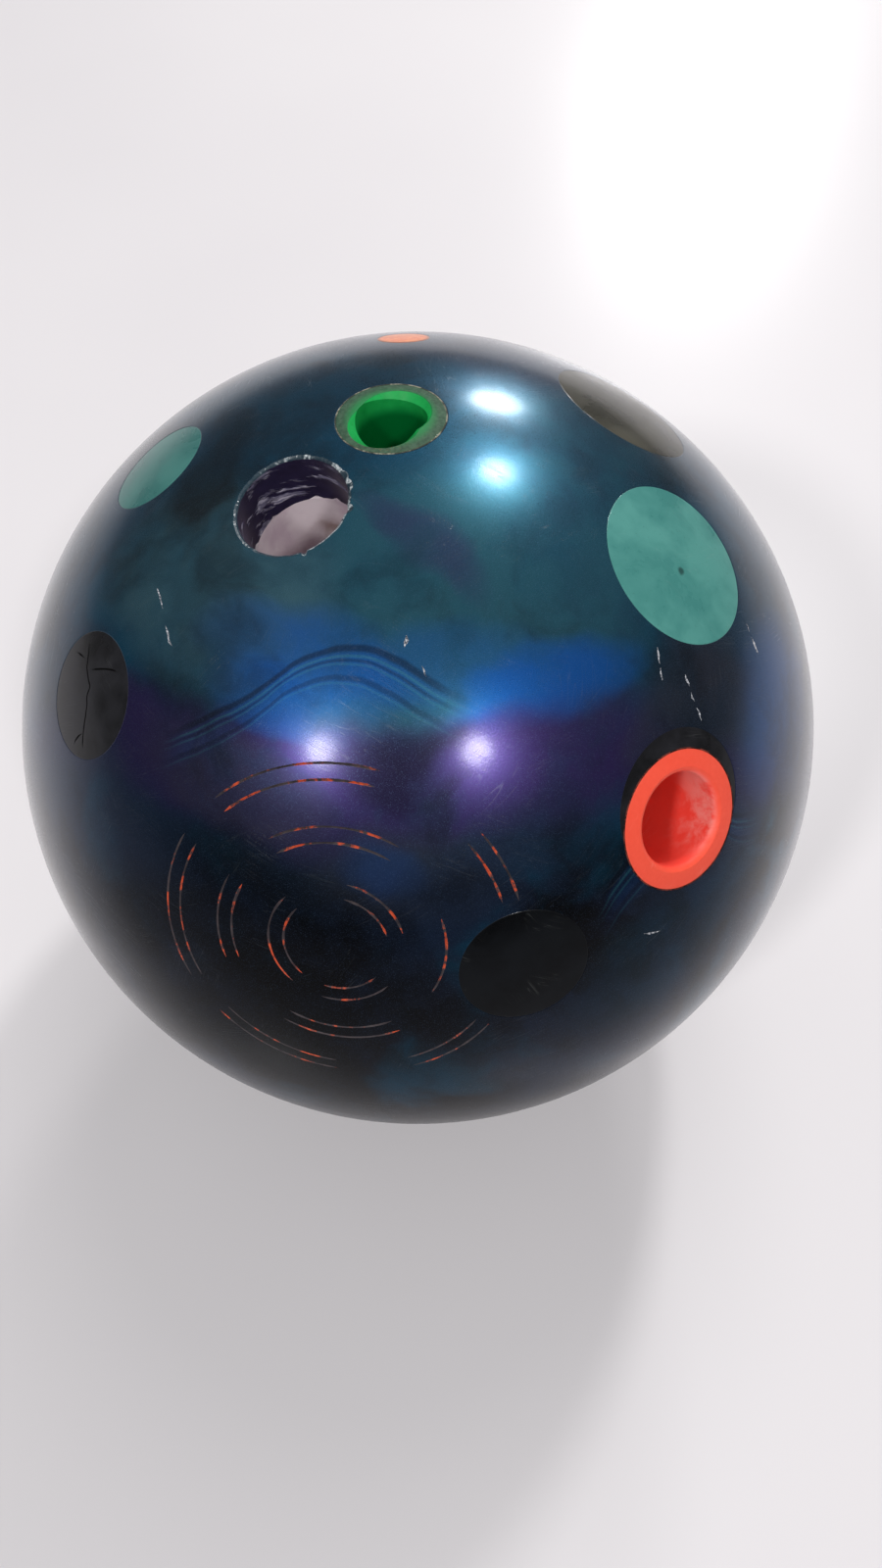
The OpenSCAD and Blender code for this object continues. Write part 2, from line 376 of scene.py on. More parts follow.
def mesh_skin(shape, rims, covers_bottom, spacing, grooves, soft_rims=True):
    """Fills the area on the left of the rims (lists of point numbers in shape) with fine triangles.

    The points are joined on a flat map seen from the bottom pole, where the rims and the lines of the
    grooves are edges to keep. A skin that covers the bottom pole is everything outside its rims there.
    """
    owner, middle = {}, set()      # which groove a point is on, and the points along a groove's bottom
    used, chains = [], []          # the points to join, and the edges to keep

    def chain(numbers, closed):
        last = len(numbers) if closed else len(numbers) - 1
        chains.extend((numbers[i], numbers[(i + 1) % len(numbers)]) for i in range(last))
        used.extend(numbers)

    rim_points = set()
    for rim in rims:
        here = unit(shape.points[rim])
        chain(list(rim), True)
        rim_points.update(int(i) for i in rim)
        shape.points[rim] = here * (BALL_R - RIM_DROP * MM)
        if soft_rims:
            strip = shape.add_points(unit(here + inward(here) * to_turn(RIM_STEP)) * BALL_R)
            chain(list(strip), True)
    for number, groove in enumerate(grooves):
        left = list(shape.add_points(groove.left * BALL_R))
        deep = list(shape.add_points(groove.middle * BALL_R))
        right = list(shape.add_points(groove.right * BALL_R))
        for line in (left, deep, right):
            chain(line, False)
        for end in (0, -1):
            chains.extend([(left[end], deep[end]), (deep[end], right[end])])
        owner.update((int(i), number) for i in left + deep + right)
        middle.update(int(i) for i in deep)

    flat_rims = [flatten(unit(shape.points[rim])) for rim in rims]
    tree = kdtree.KDTree(len(used))
    for number in used:
        tree.insert(Vector(unit(shape.points[number])), int(number))
    tree.balance()
    fill = lattice(spacing)
    fill = fill[fill[:, 2] > -math.cos(to_turn(POLE_CLEAR * spacing))]
    if not covers_bottom:
        edge = unit(np.vstack([shape.points[rim] for rim in rims]))
        centre = unit(edge.mean(0))
        fill = fill[fill @ centre > (edge @ centre).min()]
    fill = fill[inside_odd(flatten(fill), flat_rims) != covers_bottom]
    clear = to_turn(FILL_CLEAR * spacing)
    fill = fill[[tree.find(Vector(place))[2] > clear for place in fill]]
    used.extend(shape.add_points(fill * BALL_R))
    bottom_ring = []
    if covers_bottom:
        angle = to_turn(POLE_RING * spacing)
        turn = np.radians(np.arange(0, 360, 60))
        wide = math.sin(angle)
        low = np.full(len(turn), -math.cos(angle))
        ring = np.column_stack([wide * np.cos(turn), wide * np.sin(turn), low])
        bottom_ring = list(shape.add_points(ring * BALL_R))
        used.extend(bottom_ring)

    used = list(dict.fromkeys(int(i) for i in used))
    place_of = {number: i for i, number in enumerate(used)}
    flat = [Vector(place) for place in flatten(unit(shape.points[used]))]
    edges = [(place_of[int(a)], place_of[int(b)]) for a, b in chains]
    joined = geometry.delaunay_2d_cdt(flat, edges, [], 0, 1e-9, True)
    out_points, _, out_faces, origin, _, _ = joined
    numbers = []
    for place, source in zip(out_points, origin):
        if source:
            numbers.append(used[source[0]])
        else:
            numbers.append(int(shape.add_points(unflatten(place.x, place.y)[None] * BALL_R)[0]))
    faces = np.array([[numbers[i] for i in face] for face in out_faces], int)
    centres = np.array([sum((out_points[i] for i in face), Vector((0, 0))) / 3 for face in out_faces])
    faces = faces[inside_odd(centres, flat_rims) != covers_bottom]
    if covers_bottom:
        pole = int(shape.add_points(np.array([[0, 0, -BALL_R]]))[0])
        ends = bottom_ring[1:] + bottom_ring[:1]
        fan = np.array([[a, b, pole] for a, b in zip(bottom_ring, ends)], int)
        faces = np.vstack([faces, fan])
    outward = (face_normals(shape.points, faces) * unit(shape.points[faces].mean(1))).sum(1)
    faces[outward < 0] = faces[outward < 0][:, ::-1]

    kinds = np.full(len(faces), SKIN)
    for row, face in enumerate(faces):
        owners = {owner.get(int(i), -1) for i in face}
        if len(owners) == 1 and -1 not in owners and any(int(i) in middle for i in face):
            kinds[row] = grooves[owners.pop()].kind
        elif any(int(i) in rim_points for i in face):
            kinds[row] = EDGE
    normals = unit(shape.points[faces])
    for rim in rims:
        here = unit(shape.points[rim])
        tilted = unit(here - RIM_TILT * soft_rims * inward(here))
        for number, normal in zip(rim, tilted):
            normals[faces == number] = normal
    cut = (kinds != SKIN) & (kinds != EDGE)
    normals[cut] = face_normals(shape.points, faces[cut])[:, None]
    shape.add_faces(faces, np.where(kinds == EDGE, SKIN, kinds), normals)


def add_object(name, data):
    """A new object in the scene."""
    thing = bpy.data.objects.new(name, data)
    bpy.context.scene.collection.objects.link(thing)
    return thing


def make_piece(name, shape, materials, nodes):
    """Turns a shape into a Blender piece that stands for CAD nodes. A kind k takes materials[k].
    """
    used, faces = np.unique(shape.faces, return_inverse=True)
    faces = faces.reshape(-1, 3)
    mesh = bpy.data.meshes.new(name)
    mesh.from_pydata(shape.points[used].tolist(), [], faces.tolist())
    kinds = sorted(set(shape.kinds.tolist()))
    for kind in kinds:
        mesh.materials.append(materials[kind])
    slot_of = np.array([kinds.index(k) for k in shape.kinds], dtype=np.int32)
    mesh.polygons.foreach_set("material_index", slot_of)
    mesh.shade_smooth()
    mesh.normals_split_custom_set(shape.normals.reshape(-1, 3).tolist())
    mesh.update()
    piece = add_object(name, mesh)
    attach(piece, "root")
    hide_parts(*nodes)


def fine_plug(node, materials, grooves, soft_rims):
    """A CAD node with its outside meshed again, with any grooves and, if asked for, softened rims."""
    points, faces, normals = weld(node)
    outside = skin_faces(points, faces)
    shape = Shape()
    shape.add_points(points)
    mesh_skin(shape, rim_loops(faces[outside]), False, PLUG_SPACING, grooves, soft_rims)
    shape.add_faces(faces[~outside], WALL, normals[~outside])
    make_piece(node + "_fine", shape, materials, [node])


def clean_copy(node, material):
    """A CAD node as a piece of its own, without the flat triangles that its mesh has at a pole."""
    points, faces, normals = weld(node)
    shape = Shape()
    shape.add_points(points)
    shape.add_faces(faces, WALL, normals)
    make_piece(node + "_clean", shape, {WALL: material}, [node])


# ---- the cover, with its open finger hole

CHIP_BEVEL = 0.55     # width of the worn bevel round the open finger hole, mm
CHIPS = 22
CHIP_WIDE = (0.03, 0.13)    # half a chip's width, radians round the hole
CHIP_SIZE = (0.15, 0.55)    # how far it reaches back, mm
CHIPPED_SIDE = math.radians(35)    # the way from the hole's axis to its most chipped side
CHIP_MORE, CHIP_LESS = 1.9, 0.5    # the chips' size on that side and on the rest
RIM_REACH = 12        # from the hole's axis to the outside of its rim, mm
RIM_POINTS = 300      # points round each ring of the hole's wall
# depths of the rings on the wall, as shares of the cover's thickness
WALL_RINGS = (0.16, 0.27, 0.4, 0.54, 0.68, 0.82, 0.93)
WALL_ROUGH = 0.0012   # how much the wall's radius varies
RIM_LEEWAY = 1.2      # the CAD hole's wall and rounded edge are within this of the bore's radius, mm


def chips(turn, rng):
    """How far the broken edge reaches back from the bevel at each angle, in mm."""
    reach = 0.12 * (1 + smooth_noise(len(turn), 61, rng))
    for _ in range(CHIPS):
        at = rng.uniform(0, 2 * math.pi)
        wide = rng.uniform(*CHIP_WIDE)
        share = CHIP_MORE if math.cos(at - CHIPPED_SIDE) > 0.3 else CHIP_LESS
        size = rng.uniform(*CHIP_SIZE) * share
        away = np.abs((turn - at + math.pi) % (2 * math.pi) - math.pi)
        reach = np.maximum(reach, size * np.clip(1 - (away / wide) ** 2, 0, 1) ** 0.6)
    return reach


def stitch(shape, upper, lower, centre, east, north, kind):
    """Joins two loops round the same axis with triangles that face the axis, matching them by angle."""
    def ordered(loop):
        away = shape.points[loop] - centre
        angle = np.arctan2(away @ north, away @ east)
        order = np.argsort(angle)
        return np.asarray(loop)[order], angle[order]

    top, top_angle = ordered(upper)
    low, low_angle = ordered(lower)
    i = j = 0
    faces = []
    while i < len(top) or j < len(low):
        next_top = top_angle[i + 1] if i + 1 < len(top) else top_angle[0] + 2 * math.pi
        next_low = low_angle[j + 1] if j + 1 < len(low) else low_angle[0] + 2 * math.pi
        a, b = top[i % len(top)], low[j % len(low)]
        if j >= len(low) or (i < len(top) and next_top <= next_low):
            faces.append((a, top[(i + 1) % len(top)], b))
            i += 1
        else:
            faces.append((a, low[(j + 1) % len(low)], b))
            j += 1
    faces = np.array(faces, int)
    level = np.array([east, north])

    def from_the_axis(places):
        return unit((places - centre) @ level.T) @ level

    away = from_the_axis(shape.points[faces].mean(1))
    turned = (face_normals(shape.points, faces) * away).sum(1) > 0
    faces[turned] = faces[turned][:, ::-1]
    if kind == BORE_WALL:
        normals = -from_the_axis(shape.points[faces])
    else:
        normals = np.repeat(face_normals(shape.points, faces)[:, None], 3, axis=1)
    shape.add_faces(faces, kind, normals)


def fine_cover(materials):
    """The coverstock with a fine skin, a chipped finger hole and its grooves."""
    points, faces, normals = weld("coverstock")
    outside = skin_faces(points, faces)
    shape = Shape()
    shape.add_points(points)
    middle, axis = bore_line("finger_hole")
    bore_r = MOUNTS["finger_hole"]["dims"]["r_mm"] * MM
    east, north = tangents(axis)
    off_axis = points - middle
    off_axis = off_axis - np.outer(off_axis @ axis, axis)
    near = length(off_axis) < bore_r + RIM_LEEWAY * MM
    radius = length(points)
    wall = near[faces].all(1) & ~outside & (points @ axis > 0)[faces].all(1)
    rims = rim_loops(faces[outside])
    rims.remove(min(rims, key=lambda rim: np.linalg.norm(points[rim].mean(0) - middle)))
    inner_loop = min(rim_loops(faces[wall]), key=lambda loop: radius[loop].mean())

    rng = np.random.default_rng(3)
    turn = np.linspace(0, 2 * math.pi, RIM_POINTS, endpoint=False)
    spokes = np.outer(np.cos(turn), east) + np.outer(np.sin(turn), north)
    reach = chips(turn, rng)

    def on_wall(depth):
        """The points on the bore's wall that are depth mm below the ball's surface."""
        start = middle + spokes * bore_r
        along = start @ axis
        target = (BALL_R - np.asarray(depth) * MM) ** 2
        return start + (-along + np.sqrt(along**2 - (start**2).sum(1) + target))[:, None] * axis

    lip = on_wall(0)
    away = unit(spokes - (unit(lip) * spokes).sum(1)[:, None] * unit(lip))
    # from the skin down: the bevel's outer edge, the hollow in it, its lower edge, then the rough wall
    edge = unit(lip + away * (CHIP_BEVEL + reach)[:, None] * MM) * BALL_R
    hollow = unit(lip + away * (0.45 * CHIP_BEVEL + 0.35 * reach)[:, None] * MM)
    sink = 0.28 + 0.45 * reach + 0.05 * rng.uniform(-1, 1, RIM_POINTS)
    hollow = hollow * (BALL_R - sink * MM)[:, None]
    rings = [shape.add_points(ring) for ring in (edge, hollow, on_wall(0.55 + 0.9 * reach))]
    cover_t = (BALL_R - radius[inner_loop].mean()) / MM
    for share in WALL_RINGS:
        rough = 1 + WALL_ROUGH * rng.uniform(-1, 1, RIM_POINTS)
        ring = on_wall(share * cover_t)
        centre_line = middle + np.outer((ring - middle) @ axis, axis)
        rings.append(shape.add_points(centre_line + (ring - centre_line) * rough[:, None]))
    for number, (upper, lower) in enumerate(zip(rings, rings[1:] + [np.array(inner_loop)])):
        kind = CHIP if number < 2 else BORE_WALL
        stitch(shape, upper, lower, middle, east, north, kind)

    # the skin has to be on the left of the hole's rim, which runs clockwise seen from outside
    mesh_skin(shape, rims + [list(rings[0][::-1])], True, COVER_SPACING, engraving() + knocks())
    kept = ~outside & ~wall
    shape.add_faces(faces[kept], WALL, normals[kept])
    make_piece("cover", shape, materials, ["coverstock"])


# ---- materials

SCRATCH_LONG = 30.0   # a scratch is this much longer than it is wide
SCRATCH_WIDTH = 0.012
SPECULAR = 0.18       # the surface's own gloss, low so that the pale floor leaves no veil on the ball
COAT_IOR = 1.22       # the polish, low for the same reason


def srgb(red, green, blue):
    """A screen colour of 0 to 255 values as a linear colour."""
    values = [v / 255 for v in (red, green, blue)]
    linear = [v / 12.92 if v <= 0.04045 else ((v + 0.055) / 1.055) ** 2.4 for v in values]
    return (*linear, 1.0)


class Finish:
    """A procedural material, put together node by node."""

    def __init__(self, name):
        self.material = bpy.data.materials.new(name)
        self.material.use_nodes = True
        self.tree = self.material.node_tree
        self.shader = self.tree.nodes["Principled BSDF"]
        coordinates = self.node("TexCoord").outputs["Object"]
        self.place = self.scaled(coordinates, 1 / MM)                   # mm from the ball's centre
        self.facing = self.vector("NORMALIZE", coordinates)

    def node(self, kind, *values, **settings):
        """A new node with its settings made and its first inputs filled in."""
        node = self.tree.nodes.new("ShaderNode" + kind)
        for name, value in settings.items():
            setattr(node, name, value)
        for socket, value in zip(node.inputs, values):
            self.put(socket, value)
        return node

    def put(self, socket, value):
        """Sets a socket to a value or links it to another; None leaves it alone."""
        if isinstance(value, np.ndarray):
            value = tuple(float(v) for v in value)
        if value is None:
            return
        if isinstance(value, bpy.types.NodeSocket):
            self.tree.links.new(value, socket)
        else:
            socket.default_value = value

    def vector(self, operation, *values):
        node = self.node("VectorMath", *values, operation=operation)
        is_number = operation in ("DOT_PRODUCT", "LENGTH", "DISTANCE")
        return node.outputs["Value" if is_number else "Vector"]

    def math(self, operation, *values):
        return self.node("Math", *values, operation=operation).outputs[0]

    def plus(self, first, second):
        return self.math("ADD", first, second)

    def minus(self, first, second):
        return self.math("SUBTRACT", first, second)

    def times(self, first, second):
        return self.math("MULTIPLY", first, second)

    def dot(self, vector, axis):
        return self.vector("DOT_PRODUCT", vector, axis)

    def scaled(self, vector, share):
        return self.vector("SCALE", vector, None, None, share)

    def distance(self, vector, place):
        return self.vector("DISTANCE", vector, place)

    def step(self, value, low, high, to_low=0.0, to_high=1.0):
        """A smooth change from to_low to to_high as value goes from low to high."""
        limits = (value, low, high, to_low, to_high)
        return self.node("MapRange", *limits, interpolation_type="SMOOTHSTEP").outputs[0]

    def step_line(self, value, low, high):
        """An even change from 0 to 1 as value goes from low to high."""
        return self.node("MapRange", value, low, high).outputs[0]

    def mix(self, share, first, second):
        node = self.node("Mix", share, data_type="RGBA")
        self.put(node.inputs[6], first)
        self.put(node.inputs[7], second)
        return node.outputs[2]

    def blend(self, value, low, high, first, second):
        """Goes smoothly from the first colour to the second as value goes from low to high."""
        return self.mix(self.step(value, low, high), first, second)

    def noise(self, vector, scale, detail=2.0, roughness=0.5, colour=False):
        node = self.node("TexNoise", vector)
        node.inputs["Scale"].default_value = scale
        node.inputs["Detail"].default_value = detail
        node.inputs["Roughness"].default_value = roughness
        return node.outputs["Color" if colour else "Fac"]

    def grain(self, scale, detail=2.0, roughness=0.5):
        """Noise over the piece, with scale waves for each mm."""
        return self.noise(self.place, scale, detail, roughness)

    def warp(self, vector, scale, amount, detail=2.0):
        """vector pushed about by noise of this scale."""
        push = self.noise(vector, scale, detail, 0.5, True)
        push = self.vector("SUBTRACT", push, (0.5, 0.5, 0.5))
        return self.vector("ADD", vector, self.scaled(push, amount))

    def scratches(self, seed, density):
        """Fine straight scratches running one way, as a 0 to 1 mask. The seed sets which way."""
        turn = self.node("Mapping", self.place, vector_type="TEXTURE")
        turn.inputs["Rotation"].default_value = (seed * 1.3, seed * 2.1, seed * 0.7)
        turn.inputs["Location"].default_value = (seed * 13.0, seed * 7.0, 0)
        turn.inputs["Scale"].default_value = (1.0, SCRATCH_LONG, SCRATCH_LONG)
        lines = self.noise(turn.outputs[0], density, 1.0, 0.4)
        lines = self.math("ABSOLUTE", self.minus(lines, 0.5))
        thin = self.step(lines, 0.0, SCRATCH_WIDTH, 1.0, 0.0)
        where = self.step(self.grain(0.035 + 0.01 * seed, 2.0), 0.56, 0.68)
        return self.times(thin, where)

    def bump(self, height, distance, strength):
        """A normal bent by height, where a height of 1 stands distance mm high."""
        node = self.node("Bump")
        node.inputs["Strength"].default_value = strength
        node.inputs["Distance"].default_value = distance * MM
        self.put(node.inputs["Height"], height)
        return node.outputs[0]

    def set(self, **values):
        """Fills in the shader and returns the material."""
        values = {"specular": SPECULAR, "coat_ior": COAT_IOR, **values}
        names = {
            "colour": "Base Color", "roughness": "Roughness", "metallic": "Metallic", "normal": "Normal",
            "coat": "Coat Weight", "coat_roughness": "Coat Roughness", "coat_normal": "Coat Normal",
            "subsurface": "Subsurface Weight", "specular": "Specular IOR Level", "coat_ior": "Coat IOR",
        }
        for key, value in values.items():
            self.put(self.shader.inputs[names[key]], value)
        return self.material


# ---- the cover's colours

TEAL = srgb(8, 58, 80)
GREY_TEAL = srgb(32, 72, 84)
BLUE = srgb(8, 66, 132)
PURPLE = srgb(38, 28, 68)
NAVY = srgb(24, 36, 56)
NIGHT = srgb(16, 14, 34)
BLACK = srgb(9, 10, 14)
PITCH = srgb(4, 4, 5)
SLATE = srgb(54, 84, 94)
DUSK = srgb(42, 44, 54)
PALE_TEAL = srgb(56, 116, 120)
FLAKE_GAIN = 1.55     # how much brighter the flakes are than the resin's own colour

# patches of pearl colour: azimuth, elevation, half width and height, turn (degrees), colour, strength
PATCHES = [
    (0, 90, 52, 36, 0, TEAL, 0.85),
    (-20, 74, 26, 12, 10, GREY_TEAL, 0.85),
    (60, 76, 30, 14, 0, GREY_TEAL, 0.6),
    (-60, 63, 13, 11, 0, SLATE, 0.95),
    (-2, 53, 46, 6, 0, PURPLE, 0.95),
    (-2, 55, 9, 4, 0, NIGHT, 0.8),
    (14, 56, 7, 3, -8, NIGHT, 0.6),
    (-34, 47, 14, 6, 10, PURPLE, 0.8),
    (-32, 47, 9, 5, 10, DUSK, 0.7),
    (27, 52, 12, 6, -12, PURPLE, 0.8),
    (-29, 63, 9, 4.5, 15, BLUE, 0.7),
    (-33, 57, 5, 3, 10, BLUE, 0.5),
    (29, 60.5, 9, 4, -10, BLUE, 0.85),
    (18, 54, 7, 4.5, 0, PURPLE, 0.8),
    (5, 66, 10, 3.5, 0, BLUE, 0.35),
    (-2, 79, 8, 2.5, -40, PURPLE, 0.55),
    (1, 42, 12, 6, -10, DUSK, 0.6),
    (-4, 43, 6, 3, -20, BLUE, 0.25),
    (14, 40, 14, 6, 10, NAVY, 0.8),
    (-22, 34, 16, 8, 0, PITCH, 0.7),
    (-50, 28, 14, 12, 0, NAVY, 0.7),
    (38, 20, 14, 6, 15, TEAL, 0.4),
    (55, 47, 10, 7, 0, DUSK, 0.9),
    (72, 35, 10, 8, 0, BLUE, 0.35),
    (-88, 67, 7, 5, 0, BLACK, 0.8),
    (-14, 20, 34, 11, 0, PITCH, 0.9),
    (160, 62, 22, 10, 0, NAVY, 0.8),
    (-120, 20, 30, 9, 10, TEAL, 0.7),
    (-150, -10, 40, 14, -12, PURPLE, 0.7),
    (170, 15, 32, 8, 12, BLUE, 0.6),
    (110, -5, 34, 10, 0, TEAL, 0.5),
    (60, -35, 50, 12, 10, NAVY, 0.7),
    (-60, -30, 40, 14, 0, TEAL, 0.5),
    (20, -60, 60, 12, 0, PURPLE, 0.6),
]

# places that a thin wavy swirl passes through: azimuth, elevation
SWIRLS = [
    [(-45, 46), (-41, 49), (-36, 53), (-31, 57), (-24, 62), (-12, 64.5), (-3, 63.5), (5, 61), (14, 58)],
    [(24, 31), (28, 34), (33, 36), (39, 37), (46, 35), (51, 30), (56, 27)],
    [(120, 30), (128, 34), (137, 33), (146, 28), (154, 30), (163, 36)],
    [(-150, 8), (-141, 2), (-132, 4), (-124, 11), (-114, 12), (-104, 6)],
]
SWIRL_REACH = 60.0    # a swirl's line is drawn this far to each side of its middle, mm
SWIRL_START = 9.0     # it fades in over this length and out over the next, mm
SWIRL_END = 14.0
# the lines beside a swirl: offset mm, half width mm, colour, strength
SWIRL_LINES = [
    (-4.0, 4.5, BLUE, 0.15),
    (0.0, 0.9, BLACK, 0.6),
    (-1.7, 0.35, PALE_TEAL, 0.25),
    (-2.6, 0.35, BLACK, 0.4),
    (-3.4, 0.3, PALE_TEAL, 0.18),
    (-6.4, 0.7, BLACK, 0.4),
    (-7.6, 0.3, PALE_TEAL, 0.12),
]


def pearl(mat):
    """The cover's swirled pearl colour."""
    flow = mat.warp(mat.facing, 1.6, 0.30, 3.0)
    flow = mat.warp(flow, 4.5, 0.10, 4.0)
    fine = mat.warp(flow, 11.0, 0.05, 3.0)
    cloud = mat.noise(fine, 2.6, 6.0, 0.6)
    colour = mat.blend(cloud, 0.40, 0.60, BLACK, NAVY)
    colour = mat.mix(mat.step(mat.noise(flow, 3.4, 5.0), 0.52, 0.70), colour, TEAL)
    streaks = mat.step(mat.noise(fine, 5.0, 5.0, 0.6), 0.35, 0.6, 0.45, 1.0)
    for azimuth, elevation, wide, tall, turn, tint, strength in PATCHES:
        centre = direction(azimuth, elevation)
        east, north = tangents(centre)
        angle = math.radians(turn)
        long_way = (math.cos(angle) * east + math.sin(angle) * north) / math.sin(math.radians(wide))
        short_way = (math.cos(angle) * north - math.sin(angle) * east) / math.sin(math.radians(tall))
        x = mat.dot(flow, long_way)
        y = mat.dot(flow, short_way)
        spread_out = mat.plus(mat.times(x, x), mat.times(y, y))
        ahead = mat.step(mat.dot(mat.facing, centre), 0.0, 0.2)
        share = mat.times(mat.step(spread_out, 0.15, 2.0, strength, 0.0), ahead)
        share = mat.times(share, streaks)
        colour = mat.mix(share, colour, tint)
    for guide in SWIRLS:
        colour = swirl(mat, colour, guide)
    smoke = mat.step(mat.noise(fine, 4.0, 6.0, 0.58), 0.50, 0.70)
    colour = mat.mix(mat.times(smoke, 0.5), colour, BLACK)
    return mat.scaled(colour, FLAKE_GAIN)


def swirl(mat, colour, guide):
    """A dark wavy line in the resin, with thin pale lines and a second dark line beside it."""
    places = np.array([direction(*place) for place in guide])
    centre = unit(places.mean(0))
    east, north = tangents(centre)
    flow = mat.warp(mat.facing, 9.0, 0.012, 2.0)
    along = mat.times(mat.dot(flow, east), to_mm(1))
    up = mat.times(mat.dot(flow, north), to_mm(1))

    # the curve node holds the line's height above its middle, both scaled to 0 to 1
    curve = mat.node("FloatCurve")
    mat.put(curve.inputs["Value"], mat.step_line(along, -SWIRL_REACH, SWIRL_REACH))
    line = curve.mapping.curves[0]
    spots = sorted((float(to_mm(place @ east)), float(to_mm(place @ north))) for place in places)
    scaled = [((x / SWIRL_REACH + 1) / 2, (y / SWIRL_REACH + 1) / 2) for x, y in spots]
    line.points[0].location = (0, scaled[0][1])
    line.points[1].location = (1, scaled[-1][1])
    for spot in scaled:
        line.points.new(*spot)
    curve.mapping.update()
    above = mat.minus(up, mat.times(mat.minus(curve.outputs[0], 0.5), 2 * SWIRL_REACH))

    first, last = spots[0][0], spots[-1][0]
    fades_in = mat.step(along, first, first + SWIRL_START)
    fades_out = mat.step(along, last - SWIRL_END, last, 1.0, 0.0)
    ahead = mat.step(mat.dot(mat.facing, centre), 0.5, 0.7)
    ends = mat.times(mat.times(fades_in, fades_out), ahead)
    for offset, half, tint, strength in SWIRL_LINES:
        away = mat.math("ABSOLUTE", mat.minus(above, offset))
        share = mat.times(mat.step(away, 0.35 * half, 1.3 * half, strength, 0.0), ends)
        colour = mat.mix(share, colour, tint)
    return colour


def cover_skin():
    """The pearl cover: flakes under a clear polish with fine scratches."""
    mat = Finish("pearl_resin")
    colour = pearl(mat)
    flakes = mat.grain(5.5, 1.0, 0.3)
    sparkle = mat.step(flakes, 0.62, 0.72)
    haze = mat.grain(0.05, 3.0)
    lines = mat.math("MAXIMUM", mat.scratches(1, 1.5), mat.scratches(2, 1.2))
    more_lines = mat.math("MAXIMUM", mat.scratches(3, 1.9), mat.scratches(4, 1.4))
    lines = mat.math("MAXIMUM", lines, more_lines)
    colour = mat.mix(mat.times(sparkle, 0.12), colour, srgb(120, 150, 190))
    colour = mat.mix(mat.times(lines, 0.05), colour, srgb(150, 160, 165))
    rubbed = mat.vector("MULTIPLY", mat.place, (0.25, 0.25, 1.0))
    rubbed = mat.noise(rubbed, 3.2, 3.0, 0.6)
    height = mat.minus(mat.times(rubbed, 0.45), lines)
    polish = mat.step(haze, 0.35, 0.7, 0.13, 0.18)
    return mat.set(
        colour=colour,
        metallic=0.75,
        roughness=mat.step(flakes, 0.3, 0.7, 0.27, 0.34),
        coat=0.9,
        coat_roughness=mat.plus(polish, mat.times(lines, 0.2)),
        coat_normal=mat.bump(height, 0.02, 0.5),
    )


def worn_paint():
    """The engraving: thin orange paint, missing in places."""
    mat = Finish("worn_orange_paint")
    left = mat.step(mat.grain(0.22, 4.0, 0.65), 0.50, 0.60)
    tint = mat.mix(mat.grain(1.5, 3.0), srgb(180, 66, 40), srgb(216, 100, 64))
    bare = mat.mix(mat.grain(0.6, 3.0), srgb(22, 22, 30), srgb(92, 82, 84))
    return mat.set(
        colour=mat.mix(left, bare, tint),
        roughness=0.6,
        normal=mat.bump(mat.grain(3.0, 3.0), 0.05, 0.6),
    )


def scuffed_resin():
    """The knocks: broken resin, pale where it is crushed."""
    mat = Finish("scuffed_resin")
    grain = mat.grain(2.4, 5.0, 0.7)
    colour = mat.blend(grain, 0.40, 0.62, srgb(56, 62, 74), srgb(206, 206, 210))
    return mat.set(colour=colour, roughness=0.7, normal=mat.bump(grain, 0.12, 0.8))


def chipped_edge():
    """The finger hole's worn rim: mostly pale on its chipped side, from wear and painted highlight, and
    dark elsewhere.
    """
    mat = Finish("chipped_edge")
    grain = mat.grain(1.6, 5.0, 0.7)
    middle, axis = bore_line("finger_hole")
    east, north = tangents(axis)
    side = math.cos(CHIPPED_SIDE) * east + math.sin(CHIPPED_SIDE) * north
    middle = float(middle @ side) / MM
    # painted highlight and wear: the rim turns pale towards its chipped side, where the bevel catches
    # the light
    rim_sheen_and_wear = mat.step_line(mat.dot(mat.place, side), middle - RIM_REACH, middle + RIM_REACH)
    patchy = mat.plus(mat.grain(0.42, 3.0), mat.times(rim_sheen_and_wear, 0.22))
    # elsewhere the rim keeps a dark tone, in patches
    dull_tone = mat.step(patchy, 0.66, 0.74, 1.0, 0.0)
    pale = mat.blend(grain, 0.38, 0.62, srgb(92, 108, 114), srgb(206, 212, 214))
    colour = mat.mix(mat.times(dull_tone, 0.95), pale, srgb(26, 48, 60))
    return mat.set(colour=colour, roughness=0.35, coat=0.8, coat_roughness=0.15,
                   normal=mat.bump(grain, 0.06, 0.5))


def crack_inside():
    """The inside of the cracks: near-black."""
    mat = Finish("crack_inside")
    grain = mat.grain(2.0, 3.0)
    return mat.set(colour=mat.mix(grain, srgb(2, 2, 3), srgb(16, 15, 16)), roughness=0.9)


def bore_wall():
    """The cover's wall inside the open finger hole: purple-black resin under smears of old glue."""
    mat = Finish("finger_hole_wall")
    flow = mat.warp(mat.place, 0.12, 4.0, 3.0)
    flow = mat.vector("MULTIPLY", flow, (0.5, 0.8, 2.6))
    glue = mat.step(mat.noise(flow, 0.17, 5.0, 0.62), 0.56, 0.64)
    thin = mat.step(mat.noise(flow, 0.5, 4.0), 0.45, 0.7)
    resin = mat.mix(mat.grain(0.3, 4.0), srgb(18, 14, 30), srgb(48, 42, 74))
    smear = mat.mix(thin, srgb(122, 118, 142), srgb(214, 208, 222))
    return mat.set(
        colour=mat.mix(mat.times(glue, 0.85), resin, smear),
        roughness=mat.step(glue, 0, 1, 0.35, 0.62),
        normal=mat.bump(glue, 0.25, 0.7),
    )


